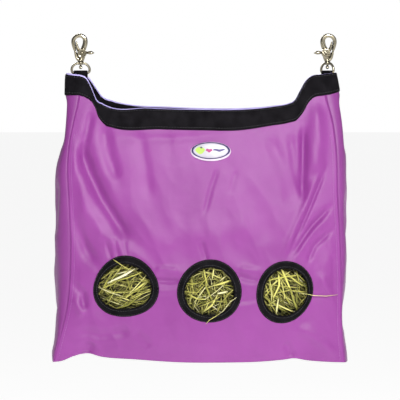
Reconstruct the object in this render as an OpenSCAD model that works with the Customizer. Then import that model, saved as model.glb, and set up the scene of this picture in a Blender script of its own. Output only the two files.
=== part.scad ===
// Fabric hay bag with three round feed holes, hung from two swivel trigger snaps.
// +X is right, +Y is towards the back and +Z is up. Millimetres. The base stands at z = 0.

/* [Bag] */
// Half width of the bag at the base
base_half_w = 265; // [240:1:290]
// Half width of the bag at the top of the shoulders
top_half_w = 244; // [225:1:260]
// Height of the shoulder tips above the base
shoulder_z = 517; // [500:1:540]
// Height of the belly, where the bag is deepest
belly_z = 150; // [110:1:190]
// Half depth of the bag at the belly
belly_half_d = 76; // [60:1:85]
// Half depth of the bag where it meets the base
foot_half_d = 56; // [45:1:62]
// Half depth of the pinched shoulders
shoulder_half_d = 15; // [14.5:0.5:18]
// Radius of the rounded sides, seen from above
side_r = 130; // [110:1:150]
// Thickness of the nylon cloth with its seam allowance
cloth_t = 2; // [1.5:0.1:2.5]

/* [Rim] */
// Height of the rim in the middle of the bag
rim_z = 454; // [440:1:465]
// How much higher the rim is where the shoulders begin to rise
rim_lift = 12; // [4:1:20]
// Distance from the middle to the foot of each shoulder's rise
rise_x = 174; // [165:1:180]
// Height of each shoulder's rise
rise_h = 42; // [30:1:46]
// Width of the webbing sewn round the rim
webbing_w = 38; // [32:1:44]
// Thickness of the webbing
webbing_t = 1.6; // [1.2:0.1:2]

/* [Feed holes] */
// Radius of the opening inside the binding
hole_r = 43; // [36:0.5:46]
// Width of the binding around each hole
binding_w = 14.5; // [10:0.5:18]
// Height of the hole centres
hole_z = 128; // [115:1:140]
// Distance of the left hole from the middle
hole_left_x = 137; // [125:1:145]
// Distance of the middle hole to the right of the middle
hole_mid_x = 14; // [0:1:20]
// Distance of the right hole from the middle
hole_right_x = 150; // [135:1:155]

/* [Badge] */
// Width of the oval badge
badge_w = 72; // [50:1:80]
// Height of the oval badge
badge_h = 33; // [20:1:36]
// Height of the badge centre
badge_z = 377; // [360:1:385]

/* [Hangers] */
// Width of the webbing tab that holds each snap
tab_w = 25; // [20:0.5:26]
// Distance of the left snap from the middle
snap_left_x = 217; // [210:1:222]
// Distance of the right snap from the middle
snap_right_x = 226; // [215:1:228]
// Height of the bar of each swivel eye
bar_z = 518; // [517:0.5:524]
// Turn of the left eye about the vertical
left_yaw = 8; // [0:1:20]
// Turn of the right eye about the vertical
right_yaw = 50; // [0:1:52]

/* [Snaps] */
// Radius of the wire of the swivel eye
wire_r = 2; // [1.8:0.1:2.1]
// Inside radius of the hook's throat
throat_r = 8; // [7:0.5:9]
// Radius of the hook's swivel post
post_r = 2; // [1.8:0.05:2.1]
// Radius of the gate's rivet
rivet_r = 1.5; // [1.2:0.05:1.6]
// Running clearance of the post and the rivet in their bores
running_gap = 0.06; // [0.03:0.01:0.09]

/* [Hidden] */
$fn = 64;

seam_gap = 0.2;                  // between cloth pieces that are sewn edge to edge
skin_gap = 0.15;                 // between layers that are sewn flat on each other
wide = 700;                      // longer than the bag in any direction
mid_y = 1.25;                    // half the binding's height, so that front and back stand equally proud
side_tilt = atan((base_half_w - top_half_w) / shoulder_z);
skin_out = skin_gap + webbing_t;
skin_in = cloth_t + skin_gap + webbing_t;
binding_out = 2.5;
base_t = 2;
base_over = 1;
nylon = [0.66, 0.33, 0.66];
nylon_dark = [0.5, 0.24, 0.5];
webbing_black = [0.07, 0.07, 0.08];
nickel = [0.75, 0.72, 0.66];

// Half depth of the bag at height z: rounding out to the belly, then closing to the shoulders.
function half_depth(z) =
    z < belly_z
        ? foot_half_d + (belly_half_d - foot_half_d) * sin(90 * max(z, 0) / belly_z)
        : shoulder_half_d + (belly_half_d - shoulder_half_d)
            * cos(90 * min(1, (z - belly_z) / (shoulder_z - belly_z)));

depth_heights = concat([for (i = [0:4]) belly_z * i / 5],
    [for (i = [0:13]) belly_z + (shoulder_z - belly_z) * i / 13], [shoulder_z + 40]);

// Height of the rim over x: low in the middle, an S up to each shoulder, then nearly level.
function smooth(t) = t <= 0 ? 0 : t >= 1 ? 1 : t * t * (3 - 2 * t);
function rim(x) =
    rim_z + rim_lift * pow(min(abs(x), rise_x) / rise_x, 2)
    + rise_h * smooth((abs(x) - rise_x) / 24)
    + 9 * max(0, abs(x) - rise_x - 20) / 50;

rim_stations = concat([for (x = [-270:15:-210]) x], [for (x = [-204:4:-172]) x],
    [for (x = [-150:25:150]) x], [for (x = [172:4:204]) x], [for (x = [210:15:270]) x]);

// Where the seam between panel and gusset runs, as [x, z] from the base upwards.
seam_line = [[256, -5], [248, 40], [240, 110], [238, 330], [230, 430], [220, 475], [217, 560]];

// The whole body of the bag with its surface moved inwards by d.
module bag_form(d) {
    edge = [for (z = depth_heights) [half_depth(z) - d, z]];
    translate([0, mid_y, 0])
        intersection() {
            rotate([90, 0, 90])
                linear_extrude(height = wide, center = true)
                    polygon(concat(edge,
                        [for (i = [len(edge) - 1:-1:0]) [-edge[i][0], edge[i][1]]]));
            union() {
                for (side = [-1, 1])
                    translate([side * (base_half_w - side_r), 0, 0])
                        rotate([0, -side * side_tilt, 0])
                            translate([0, 0, -20])
                                cylinder(r = side_r - d, h = 620);
                translate([-base_half_w + side_r, -side_r / 1.3, 0])
                    cube([2 * (base_half_w - side_r), 2 * side_r / 1.3, 600]);
            }
        }
}

// An outline in x and z, cut right through the bag, or through its front or back half.
module through(y_from = -wide / 2, y_to = wide / 2) {
    translate([0, y_to, 0])
        rotate([90, 0, 0])
            linear_extrude(height = y_to - y_from)
                children();
}

module below_rim(top_drop = 0, bottom_drop = 0, floor_z = 0) {
    top = [for (x = rim_stations) [x, rim(x) - top_drop]];
    bottom = bottom_drop > 0
        ? [for (i = [len(rim_stations) - 1:-1:0])
            [rim_stations[i], rim(rim_stations[i]) - bottom_drop]]
        : [[270, floor_z], [-270, floor_z]];
    polygon(concat(top, bottom));
}

module between_seams(gap) {
    polygon(concat([for (p = seam_line) [p[0] - gap / 2, p[1]]],
        [for (i = [len(seam_line) - 1:-1:0]) [-seam_line[i][0] + gap / 2, seam_line[i][1]]]));
}

// Cloth of the bag within a flat outline in x and z.
module cloth(y_from, y_to) {
    difference() {
        intersection() {
            bag_form(0);
            through(y_from, y_to) children();
        }
        bag_form(cloth_t);
    }
}

module hole_circle(x, r) {
    translate([x, hole_z])
        circle(r = r);
}

hole_centres = [-hole_left_x, hole_mid_x, hole_right_x];
cloth_hole_r = hole_r + 2.3;

module front_panel() {
    color(nylon)
        cloth(-wide / 2, mid_y)
            difference() {
                intersection() {
                    below_rim(floor_z = base_t + seam_gap);
                    between_seams(seam_gap);
                }
                for (x = hole_centres)
                    hole_circle(x, cloth_hole_r);
            }
}

module back_panel() {
    color(nylon)
        cloth(mid_y, wide / 2)
            intersection() {
                below_rim(floor_z = base_t + seam_gap);
                between_seams(seam_gap);
            }
}

module gusset(side) {
    color(nylon_dark)
        cloth(-wide / 2, wide / 2)
            difference() {
                intersection() {
                    below_rim(floor_z = base_t + seam_gap);
                    translate([side > 0 ? 0 : -300, 0])
                        square([300, 600]);
                }
                between_seams(-seam_gap);
            }
}

module left_gusset() gusset(-1);
module right_gusset() gusset(1);

module base_panel() {
    corner = 8;
    half_w = base_half_w + base_over - corner;
    half_d = foot_half_d + base_over - corner;
    color(nylon_dark)
        translate([0, mid_y, 0])
            linear_extrude(height = base_t) {
                square([2 * half_w, 2 * (half_d + corner)], center = true);
                square([2 * (half_w + corner), 2 * half_d], center = true);
                for (sx = [-1, 1], sy = [-1, 1])
                    translate([sx * half_w, sy * half_d])
                        circle(r = corner);
            }
}

module rim_band(outer, inner) {
    color(webbing_black)
        difference() {
            intersection() {
                bag_form(outer);
                through() below_rim(top_drop = 2, bottom_drop = 2 + webbing_w);
            }
            bag_form(inner);
        }
}

module outer_rim_webbing() rim_band(-skin_out, -skin_gap);
module inner_rim_webbing() rim_band(cloth_t + skin_gap, skin_in);

// Binding folded over the cut edge of a feed hole: outer face, lip and inner face.
module feed_ring(x) {
    color(webbing_black)
        difference() {
            intersection() {
                bag_form(-binding_out);
                through(-wide / 2, 0)
                    difference() {
                        hole_circle(x, hole_r + binding_w);
                        hole_circle(x, hole_r);
                    }
            }
            bag_form(cloth_t + binding_out);
            difference() {
                intersection() {
                    bag_form(-skin_gap);
                    through(-wide / 2, 0)
                        difference() {
                            hole_circle(x, hole_r + binding_w + 5);
                            hole_circle(x, cloth_hole_r - skin_gap);
                        }
                }
                bag_form(cloth_t + skin_gap);
            }
        }
}

module left_feed_ring() feed_ring(hole_centres[0]);
module middle_feed_ring() feed_ring(hole_centres[1]);
module right_feed_ring() feed_ring(hole_centres[2]);

module badge_layer(inset, outer, inner) {
    difference() {
        intersection() {
            bag_form(outer);
            through(-wide / 2, 0)
                translate([hole_mid_x + 2, badge_z])
                    polygon([for (a = [0:9:351])
                        [(badge_w / 2 - inset) * cos(a), (badge_h / 2 - inset) * sin(a)]]);
        }
        bag_form(inner);
    }
}

module badge_base() color("white") badge_layer(0, -2.1, -skin_gap);
module badge_face() color([0.9, 0.92, 0.98]) badge_layer(4.5, -3, -2.2);

// Loose hay, packed to about half height, domed on top and hollowed behind each feed hole.
module hay_fill() {
    hay_gap = 10;
    hay_top = 262;
    hay_half_w = base_half_w - 25;
    color([0.62, 0.6, 0.25])
        difference() {
            intersection() {
                bag_form(hay_gap);
                through()
                    polygon(concat([[hay_half_w, base_t + 1], [-hay_half_w, base_t + 1]],
                        [for (x = [-hay_half_w:30:hay_half_w])
                            [x, hay_top - 40 * pow(x / hay_half_w, 2)]]));
            }
            for (x = hole_centres)
                through(-wide / 2, mid_y - belly_half_d + 25)
                    hole_circle(x, hole_r + 4);
        }
}

// A snap's pieces are drawn about the middle of its eye's bar, with z up and the lever towards +x.
eye_half_w = 16;
eye_h = 17.6;
boss_r = 4.6;
boss_low = 13.6;
boss_high = 20;
eye_low_r = 5;
eye_high_r = 8;
collar_z = 20.4;
collar_top = 24;
collar_r = 4.2;
pivot = [2.5, 35.3];
cheek_r = 7.2;
cheek_half_t = 4.5;
slot_half_t = 2.1;
slot_low = 29.3;
slot_high = 41.4;
arm_room_x = 2.3;
head = [-1.8, 56.6];
head_out_r = 14;
arch_half_t = 3;
nose_tip = [-10.8, 41.2];
nose_r = 2.6;
gate_half_t = 1.8;
gate_hub_r = 5;
gate_tip = [-6.3, 41.8];
gate_tip_r = 1.6;
lever_tip = [23.4, 35.9];
pocket_r = 4.1;
spring_r = 2.7;
spring_wire_r = 0.2;

module at_left(turned = false) {
    translate([-snap_left_x, mid_y, bar_z])
        rotate([0, 0, turned ? left_yaw : 0])
            children();
}

module at_right(turned = false) {
    translate([snap_right_x, mid_y, bar_z])
        rotate([0, 0, turned ? -right_yaw : 0])
            mirror([1, 0, 0])
                children();
}

module along_y(r, half_t) {
    rotate([90, 0, 0])
        cylinder(r = r, h = 2 * half_t, center = true);
}

// A flat bar with round ends, in x and z, lying in the snap's plane. Its ends stand out by the flat.
module round_bar(p, q, r, half_t) {
    flat = 0.08;
    rotate([90, 0, 0])
        linear_extrude(height = 2 * half_t, center = true) {
            translate(p) circle(r = r);
            translate(q) circle(r = r);
            translate(p)
                rotate(atan2(q[1] - p[1], q[0] - p[0]))
                    translate([0, -(r - flat)])
                        square([norm(q - p), 2 * (r - flat)]);
        }
}

// Webbing passed round the eye's bar, both ends sewn between the layers of the shoulder.
module hanger_tab() {
    loop_in = wire_r + 0.6;
    loop_out = loop_in + webbing_t;
    leg = 32;
    color(webbing_black)
        difference() {
            union() {
                rotate([0, 90, 0])
                    cylinder(r = loop_out, h = tab_w, center = true);
                translate([-tab_w / 2, -webbing_t, -leg])
                    cube([tab_w, 2 * webbing_t, leg - 1]);
            }
            rotate([0, 90, 0])
                cylinder(r = loop_in, h = tab_w + 2, center = true);
        }
}

module eye_corner(x, z, r, from) {
    translate([x, 0, z])
        rotate([90, 0, 0])
            rotate([0, 0, from])
                rotate_extrude(angle = 90)
                    translate([r, 0])
                        circle(r = wire_r);
}

module wire(p, q) {
    translate([p[0], 0, p[1]])
        rotate([0, atan2(q[0] - p[0], q[1] - p[1]), 0])
            cylinder(r = wire_r, h = norm(q - p));
}

module swivel_eye() {
    low = eye_half_w - eye_low_r;
    high = eye_half_w - eye_high_r;
    color(nickel)
        difference() {
            union() {
                wire([-low, 0], [low, 0]);
                wire([-high, eye_h], [high, eye_h]);
                for (side = [-1, 1])
                    wire([side * eye_half_w, eye_low_r], [side * eye_half_w, eye_h - eye_high_r]);
                eye_corner(-low, eye_low_r, eye_low_r, 180);
                eye_corner(low, eye_low_r, eye_low_r, 270);
                eye_corner(high, eye_h - eye_high_r, eye_high_r, 0);
                eye_corner(-high, eye_h - eye_high_r, eye_high_r, 90);
                translate([0, 0, boss_low])
                    cylinder(r = boss_r, h = boss_high - boss_low);
            }
            translate([0, 0, boss_low - 1])
                cylinder(r = post_r + running_gap, h = boss_high - boss_low + 2);
        }
}

module arch() {
    mid_r = throat_r + 2;
    translate([head[0], 0, head[1]])
        rotate([90, 0, 0])
            rotate_extrude(angle = 180)
                polygon([[throat_r, -1.7], [throat_r + 1.2, -2.6], [mid_r, -arch_half_t],
                    [head_out_r - 2, -2.7], [head_out_r - 0.5, -1.7], [head_out_r, -0.6],
                    [head_out_r, 0.6], [head_out_r - 0.5, 1.7], [head_out_r - 2, 2.7],
                    [mid_r, arch_half_t], [throat_r + 1.2, 2.6], [throat_r, 1.7]]);
}

// Ball-headed swivel post, collar and neck, turned in one profile.
module post_and_collar() {
    neck_r = 3.3;
    rotate_extrude()
        polygon([[0, 6.9], [1.5, 7.2], [2.6, 8.2], [3.1, 9.6], [3.1, 10.8], [2.6, 12.2],
            [post_r, 12.9], [post_r, collar_z], [collar_r - 0.4, collar_z],
            [collar_r, collar_z + 0.4], [collar_r, collar_top - 0.6],
            [neck_r, collar_top], [neck_r, 28], [0, 28]]);
}

module hook_body() {
    side_x = (throat_r + head_out_r) / 2;
    side_r = 2.5;
    color(nickel)
        difference() {
            union() {
                arch();
                round_bar([6.4, 42.5], head + [side_x, 0.7], side_r, 2.5);
                round_bar(head + [-side_x, 0.7], head - [side_x, 5], side_r, 2.5);
                round_bar(nose_tip, head - [side_x - 0.1, 5.2], nose_r, 2.3);
                difference() {
                    union() {
                        translate([pivot[0], 0, pivot[1]])
                            along_y(cheek_r, cheek_half_t);
                        round_bar([0.6, 27.2], [2.6, 31], 3.7, 3.5);
                    }
                    translate([-10, -slot_half_t, slot_low])
                        cube([22, 2 * slot_half_t, slot_high - slot_low]);
                    translate([-10, -slot_half_t, slot_low])
                        cube([10 + arm_room_x, 2 * slot_half_t, cheek_r * 2]);
                }
                post_and_collar();
            }
            translate([pivot[0], 0, pivot[1]])
                along_y(rivet_r + running_gap, cheek_half_t + 1);
        }
}

module gate_rivet() {
    color([0.6, 0.57, 0.5])
        translate([pivot[0], 0, pivot[1]]) {
            along_y(rivet_r, cheek_half_t + 0.3);
            for (side = [-1, 1])
                translate([0, side * (cheek_half_t + 0.55), 0])
                    along_y(2.4, 0.45);
        }
}

// The gate: hub on the rivet, arm across to the nose, and lever out of the spine side.
module gate() {
    color([0.55, 0.55, 0.5])
        difference() {
            union() {
                translate([pivot[0], 0, pivot[1]])
                    along_y(gate_hub_r, gate_half_t);
                round_bar(pivot + [-3.2, 2.4], gate_tip, gate_tip_r, gate_half_t);
                round_bar(pivot + [2, 0.3], lever_tip, 1.5, gate_half_t);
                round_bar(pivot + [13, 0.6], lever_tip, 1.7, gate_half_t + 1.6);
            }
            translate([pivot[0], 0, pivot[1]])
                along_y(rivet_r + running_gap, gate_half_t + 1);
            translate([pivot[0], gate_half_t, pivot[1]])
                along_y(pocket_r, gate_half_t - 0.2);
        }
}

// Torsion spring round the rivet, in the pocket on the gate's far face.
spring_turns = 2.5;
spring_steps = 40;
spring_start = 0.45;
spring_run = 1.25;
spring_path = [for (i = [0:spring_steps])
    let (a = 360 * spring_turns * i / spring_steps)
    [pivot[0] + spring_r * cos(a), spring_start + spring_run * i / spring_steps,
        pivot[1] + spring_r * sin(a)]];

module gate_spring() {
    sides = 8;
    n = spring_steps;
    points = [for (i = [0:n], k = [0:sides - 1])
        let (a = 360 * spring_turns * i / n, b = 360 * k / sides)
        spring_path[i] + spring_wire_r
            * [cos(b) * cos(a), sin(b), cos(b) * sin(a)]];
    walls = [for (i = [0:n - 1], k = [0:sides - 1])
        let (a = i * sides + k, b = i * sides + (k + 1) % sides)
        each [[a, b, b + sides], [a, b + sides, a + sides]]];
    color([0.4, 0.4, 0.42])
        polyhedron(points = points, faces = concat(walls,
            [[for (k = [sides - 1:-1:0]) k]],
            [[for (k = [0:sides - 1]) n * sides + k]]));
}

module left_hanger_tab() at_left(true) hanger_tab();
module right_hanger_tab() at_right(true) hanger_tab();
module left_swivel_eye() at_left(true) swivel_eye();
module right_swivel_eye() at_right(true) swivel_eye();
module left_hook_body() at_left() hook_body();
module right_hook_body() at_right() hook_body();
module left_gate_rivet() at_left() gate_rivet();
module right_gate_rivet() at_right() gate_rivet();
module left_gate_spring() at_left() gate_spring();
module right_gate_spring() at_right() gate_spring();
module left_gate() at_left() gate();
module right_gate() at_right() gate();

front_panel();
back_panel();
left_gusset();
right_gusset();
base_panel();
outer_rim_webbing();
inner_rim_webbing();
left_feed_ring();
middle_feed_ring();
right_feed_ring();
badge_base();
badge_face();
hay_fill();
left_hanger_tab();
right_hanger_tab();
left_swivel_eye();
left_hook_body();
left_gate_rivet();
left_gate_spring();
left_gate();
right_swivel_eye();
right_hook_body();
right_gate_rivet();
right_gate_spring();
right_gate();
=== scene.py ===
import math

import bmesh
import bpy
import numpy as np
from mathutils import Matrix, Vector, noise


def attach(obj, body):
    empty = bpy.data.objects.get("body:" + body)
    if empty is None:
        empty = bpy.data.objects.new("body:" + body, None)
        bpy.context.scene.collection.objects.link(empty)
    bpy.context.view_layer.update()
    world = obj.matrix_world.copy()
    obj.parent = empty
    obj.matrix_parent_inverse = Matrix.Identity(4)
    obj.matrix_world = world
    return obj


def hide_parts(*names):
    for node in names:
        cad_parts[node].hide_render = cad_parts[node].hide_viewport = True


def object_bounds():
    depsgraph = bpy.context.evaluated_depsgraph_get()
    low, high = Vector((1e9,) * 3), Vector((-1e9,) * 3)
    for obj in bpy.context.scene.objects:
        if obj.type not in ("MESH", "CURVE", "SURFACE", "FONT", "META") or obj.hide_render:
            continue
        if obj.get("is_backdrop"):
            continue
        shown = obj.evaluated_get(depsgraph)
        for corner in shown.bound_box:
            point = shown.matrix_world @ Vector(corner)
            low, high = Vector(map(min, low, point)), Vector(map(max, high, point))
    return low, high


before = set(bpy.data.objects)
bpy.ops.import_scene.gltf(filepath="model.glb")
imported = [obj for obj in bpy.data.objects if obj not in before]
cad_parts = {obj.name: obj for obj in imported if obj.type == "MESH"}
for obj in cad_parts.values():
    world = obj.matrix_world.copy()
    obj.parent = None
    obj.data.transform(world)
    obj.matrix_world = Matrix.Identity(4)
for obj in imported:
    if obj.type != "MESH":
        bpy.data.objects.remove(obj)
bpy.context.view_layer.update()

# ---------------------------------------------------------------- front panel
# One piece of purple pack cloth, cut with three round holes. It hangs from the shoulders,
# so it bellies out over the hay and falls in folds from both shoulders to the holes.
# Sizes in this file are millimetres until a mesh is made.

MID_Y = 1.25
METRE = 0.001


def through(points):
    """A smooth line through a few [place, value] points, level beyond its ends."""
    at, value = np.array(points, float).T
    slope = np.gradient(value, at)

    def line(x):
        x = np.clip(np.asarray(x, float), at[0], at[-1])
        i = np.clip(np.searchsorted(at, x, side="right") - 1, 0, len(at) - 2)
        gap = at[i + 1] - at[i]
        t = (x - at[i]) / gap
        ends = value[i] * (1 + 2 * t) * (1 - t) ** 2 + value[i + 1] * t * t * (3 - 2 * t)
        return ends + gap * (slope[i] * t * (1 - t) ** 2 - slope[i + 1] * t * t * (1 - t))

    return line


# Front seams and outermost sides, as [height, x].
left_seam = through([[0, -264], [30, -257], [100, -240], [200, -233], [290, -236],
                     [350, -239], [400, -235], [434, -228], [475, -219], [520, -217]])
right_seam = through([[0, 255], [56, 250], [164, 249], [236, 246], [308, 242],
                      [380, 240], [434, 233], [475, 222], [520, 219]])
left_side = through([[0, -268], [14, -269], [34, -265], [100, -264], [200, -265], [290, -263],
                     [352, -261], [372, -256], [396, -250], [434, -247], [470, -246], [517, -243]])
right_side = through([[0, 262], [22, 260], [50, 256], [92, 253], [112, 255], [160, 260],
                      [230, 262], [300, 261], [380, 260], [434, 256], [475, 250], [517, 241]])
# Half depth of the bag in the middle and at the seams, as [height, depth].
depth_mid = through([[0, 57], [60, 70], [150, 75], [250, 69], [350, 54], [420, 40],
                     [454, 33], [480, 25], [500, 20], [517, 16]])
depth_seam = through([[0, 56], [60, 58], [150, 54], [250, 50], [350, 41], [430, 29],
                      [475, 22], [517, 15]])
# Top edge of the cloth and bottom edge of the front, as [x, height].
rim_top = through([[-245, 518], [-236, 517.4], [-218, 515], [-205, 508], [-196, 491], [-188, 472],
                   [-176, 463.5], [-93, 456], [-3, 453.5], [87, 454.5], [132, 459], [158, 463.5],
                   [167, 467.5], [177, 485], [187, 503], [196, 511.5], [215, 515.5], [240, 518.5]])
rim_top_back = through([[-245, 517], [-215, 514], [-202, 509], [-192, 494], [-182, 479], [-160, 468],
                        [-128, 461], [-60, 457], [-3, 454.5], [87, 455], [132, 459], [158, 463.5],
                        [167, 467.5], [177, 485], [187, 503], [196, 511.5], [215, 515.5], [240, 518.5]])
hem_line = through([[-264, 3], [-250, 5], [-232, 14], [-212, 20], [-180, 13], [-120, 8], [-40, 2.5],
                    [40, 2], [110, 4], [150, 8], [163, 10], [190, 6], [230, 3], [264, 2]])


SEAMS = {"left": left_seam, "right": right_seam}


def seams_at(z):
    return left_seam(z), right_seam(z)


# Folds of the front, as path of [x, z], depth inwards and half width.
FRONT_FOLDS = [
    ([[-216, 398], [-202, 345], [-177, 294], [-148, 250], [-122, 214]], 13, 12),
    ([[-242, 302], [-229, 256], [-207, 208], [-184, 172]], 8, 10),
    ([[-222, 330], [-205, 270], [-180, 232], [-140, 205]], -4, 12),
    ([[-176, 430], [-170, 380], [-150, 325]], 5, 10),
    ([[-168, 425], [-160, 372], [-146, 318]], 2, 8),
    ([[-112, 415], [-100, 350], [-92, 290]], 3, 11),
    ([[-60, 412], [-50, 350]], 1.5, 12),
    ([[-172, 406], [-100, 400], [0, 404], [60, 410]], 1.6, 8),
    ([[120, 412], [150, 340], [168, 270]], 4, 16),
    ([[-40, 250], [30, 236], [100, 248]], -2.5, 22),
    ([[-196, 455], [-206, 400], [-216, 350]], 4, 7),
    ([[-228, 400], [-226, 330]], -3, 6),
    ([[182, 428], [181, 360], [180, 285]], 9, 7),
    ([[158, 415], [166, 350], [178, 296]], 4, 8),
    ([[208, 470], [207, 400], [200, 330]], -7, 15),
    ([[224, 355], [193, 280], [150, 186]], 4, 3.5),
    ([[212, 350], [183, 280], [143, 190]], -3, 6),
    ([[240, 290], [196, 246], [156, 188]], 5, 5),
    ([[238, 244], [200, 210], [187, 178]], 4, 4.5),
    ([[226, 262], [188, 224], [168, 190]], -3, 6),
    ([[30, 352], [18, 315], [4, 262]], 2.2, 4),
    ([[62, 345], [50, 300]], 1.2, 5),
    ([[-2, 222], [10, 184]], 4, 4.5),
    ([[-90, 152], [-60, 149], [-35, 150]], 5, 5),
    ([[-84, 170], [-38, 168]], -3.5, 6),
    ([[-84, 130], [-38, 132]], -2.5, 6),
    ([[60, 160], [86, 152], [104, 150]], 4, 5),
    ([[66, 172], [106, 166]], -3, 6),
    ([[64, 112], [104, 118]], 3, 5),
    ([[-236, 150], [-212, 125], [-206, 95]], 6, 7),
    ([[-232, 118], [-208, 84]], -4, 7),
    ([[-170, 222], [-160, 186]], 2.5, 3),
    ([[-155, 228], [-147, 188]], 2.5, 3),
    ([[-138, 222], [-132, 190]], 2, 3),
    ([[-225, 60], [-180, 52], [-120, 62]], 4, 9),
    ([[-120, 60], [-90, 30]], 3, 8),
    ([[170, 70], [215, 40], [248, 12]], -5, 10),
    ([[150, 40], [162, 12]], 4, 7),
    ([[-200, 40], [-204, 18]], 6, 10),
    ([[235, 200], [238, 130]], 4, 6),
    ([[205, 168], [232, 120], [244, 80]], -3, 7),
]


def fold_depth(x, z, folds):
    """How far inwards the folds draw the cloth at x, z. Each fades out at both ends."""
    total = np.zeros(np.broadcast(x, z).shape)
    for path, depth, width in folds:
        path = np.array(path, float)
        lengths = np.linalg.norm(np.diff(path, axis=0), axis=1)
        before = np.concatenate([[0], np.cumsum(lengths)])
        nearest = np.full(total.shape, 1e9)
        along = np.zeros(total.shape)
        for i, length in enumerate(lengths):
            (ax, az), (bx, bz) = path[i], path[i + 1]
            t = np.clip(((x - ax) * (bx - ax) + (z - az) * (bz - az)) / length**2, 0, 1)
            away = np.hypot(x - ax - t * (bx - ax), z - az - t * (bz - az))
            closer = away < nearest
            nearest = np.where(closer, away, nearest)
            along = np.where(closer, (before[i] + t * length) / before[-1], along)
        ends = np.clip(4.5 * along, 0, 1) * np.clip(4.5 * (1 - along), 0, 1)
        ends = ends * ends * (3 - 2 * ends)
        total += depth * np.exp(-((nearest / width) ** 2)) * (0.12 + 0.88 * ends)
    return total


def ripple(x, y, z, size, seed):
    """Smooth noise between about -1 and 1 over arrays of places."""
    flat = zip(np.ravel(x), np.ravel(y), np.ravel(z))
    out = [noise.noise(Vector((a / size + seed, b / size, c / size - seed))) for a, b, c in flat]
    return np.reshape(out, np.shape(x))


def crumple(x, z, size, seed):
    """Soft ridges that run mostly down the cloth, as creases left from handling do."""
    lean = x + 0.35 * z
    return 1 - 2.2 * np.abs(ripple(lean * 1.25, 0 * x, z * 0.6, size, seed))


def wall_y(x, z, facing, folds, ripples, creases, slack):
    """The outer face of the front (facing -1) or the back (1), as y over x and z.

    ripples and creases are (size, seed, height). slack is the height where the lumps have
    faded to their least, how far below it they are full, and that least."""
    left, right = seams_at(z)
    across = np.clip((x - left) / (right - left), 0, 1)
    crown = 1 - np.abs(2 * across - 1) ** 2.6
    seam, middle = depth_seam(z), depth_mid(z)
    lumps = 0
    for size, seed, height in ripples:
        lumps = lumps + ripple(x, 0 * x, z, size, seed) * height
    for size, seed, height in creases:
        lumps = lumps + crumple(x, z, size, seed) * height
    top, fade, least = slack
    fullness = np.clip((top - z) / fade, least, 1) * np.clip(z / 30, 0, 1) * np.clip(crown * 5, 0, 1)
    drawn_in = fold_depth(x, z, folds) * np.clip(crown * 4, 0, 1)
    return MID_Y + facing * (seam + (middle - seam) * crown - drawn_in + lumps * fullness)


def front_y(x, z):
    return wall_y(x, z, -1, FRONT_FOLDS, [(62, 3.1, 3.6), (26, 7.7, 0.8)],
                  [(75, 40.3, 2.4), (34, 51.9, 0.9)], (330, 120, 0.35))


def new_piece(name, points, faces, smooth=True):
    """An object from places in millimetres and the faces between them."""
    mesh = bpy.data.meshes.new(name)
    mesh.from_pydata((np.reshape(points, (-1, 3)) * METRE).tolist(), [], faces)
    if smooth:
        mesh.shade_smooth()
    piece = bpy.data.objects.new(name, mesh)
    bpy.context.scene.collection.objects.link(piece)
    return piece


def grid_mesh(name, points, wrap_rows=False, wrap_columns=False, keep=None):
    """A mesh from a grid of places in millimetres. keep says which squares stay."""
    rows, columns = points.shape[:2]
    last_row = rows if wrap_rows else rows - 1
    last_column = columns if wrap_columns else columns - 1
    r, c = np.meshgrid(np.arange(last_row), np.arange(last_column), indexing="ij")
    r2, c2 = (r + 1) % rows, (c + 1) % columns
    faces = np.stack([r * columns + c, r * columns + c2, r2 * columns + c2, r2 * columns + c], -1)
    faces = faces[keep] if keep is not None else faces.reshape(-1, 4)
    piece = new_piece(name, points, faces.tolist())
    piece.data.validate()
    return piece


def drop_loose(piece):
    """Takes out the points that no face uses, where a hole was cut."""
    used = {v for face in piece.data.polygons for v in face.vertices}
    loose = [v.index for v in piece.data.vertices if v.index not in used]
    if loose:
        work = bmesh.new()
        work.from_mesh(piece.data)
        work.verts.ensure_lookup_table()
        bmesh.ops.delete(work, geom=[work.verts[i] for i in loose], context="VERTS")
        work.to_mesh(piece.data)
        work.free()


def thicken(piece, thickness):
    """Gives cloth its thickness, inwards from its outer face."""
    solid = piece.modifiers.new("thickness", "SOLIDIFY")
    solid.thickness = thickness * METRE
    solid.offset = -1.0


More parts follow.
